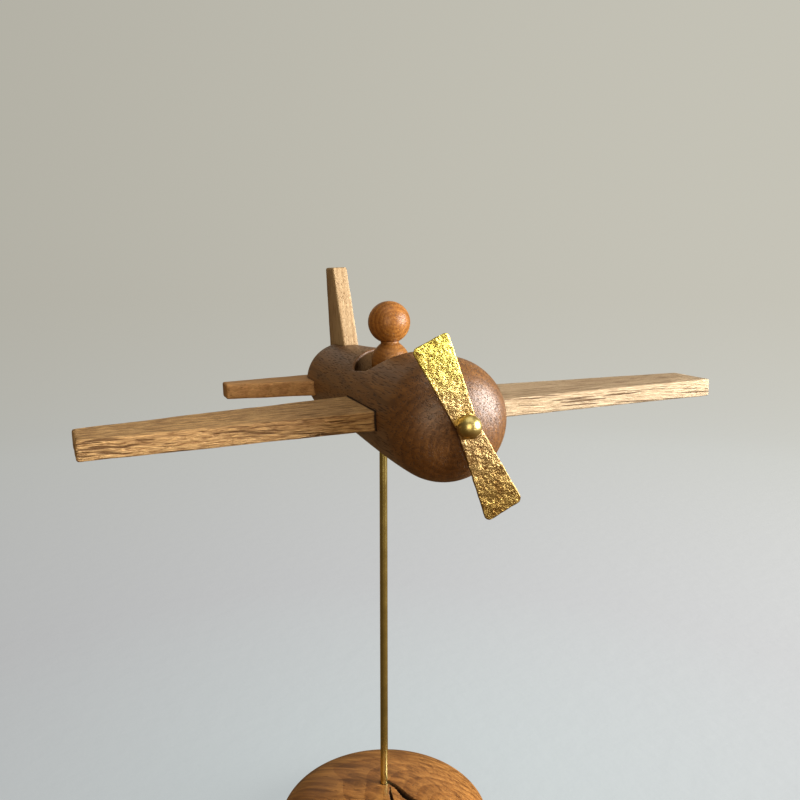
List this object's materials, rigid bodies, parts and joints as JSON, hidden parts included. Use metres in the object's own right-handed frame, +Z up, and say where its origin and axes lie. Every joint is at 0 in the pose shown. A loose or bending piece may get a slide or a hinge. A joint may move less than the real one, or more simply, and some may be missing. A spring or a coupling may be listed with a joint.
{
  "type": "propeller plane model",
  "caption": "Wooden toy plane with board wings, a turned pilot and a hammered brass propeller that spins, carried on a thin brass rod above a low round wooden dome.",
  "frame": {"origin": "centre of the underside of the base, straight under the rod", "axes": "+Z up along the rod; the propeller and nose point to -Y; the wings run along X, the plane's own left wing to +X and about two degrees high"},
  "size_m": [0.2944, 0.2005, 0.3044],
  "materials": {
    "walnut": "oiled, open grain",
    "wing_board": "sanded, light oil",
    "dowel_wood": "plain",
    "pilot_wood": "turned and oiled",
    "hammered_brass": "hammered",
    "polished_brass": "polished",
    "brass_rod": "drawn, satin",
    "burr_wood": "turned and oiled",
    "felt": "pressed felt"
  },
  "bodies": {
    "stand": {"base_dome": "burr_wood", "base_pad": "felt", "display_rod": "brass_rod"},
    "airframe": {"fuselage": "walnut", "wing_right": "wing_board", "wing_left": "wing_board", "wing_dowels": "dowel_wood", "tailplane_right": "wing_board", "tailplane_left": "wing_board", "tailplane_dowels": "dowel_wood", "fin": "wing_board", "fin_dowels": "dowel_wood", "pilot": "pilot_wood", "pilot_peg": "dowel_wood", "propeller_ball": "polished_brass", "propeller_pin": "brass_rod", "nose_washer": "brass_rod", "rod_sleeve": "brass_rod"},
    "propeller": {"propeller": "hammered_brass"}
  },
  "joints": [
    {"name": "plane_swivel", "type": "hinge", "parent": "stand", "child": "airframe", "pos_m": [0, 0, 0.2405], "axis": [0, 0, 1], "continuous": true},
    {"name": "propeller_spin", "type": "hinge", "parent": "airframe", "child": "propeller", "pos_m": [-0.00054, -0.1, 0.24158], "axis": [0, -1, 0], "continuous": true}
  ]
}
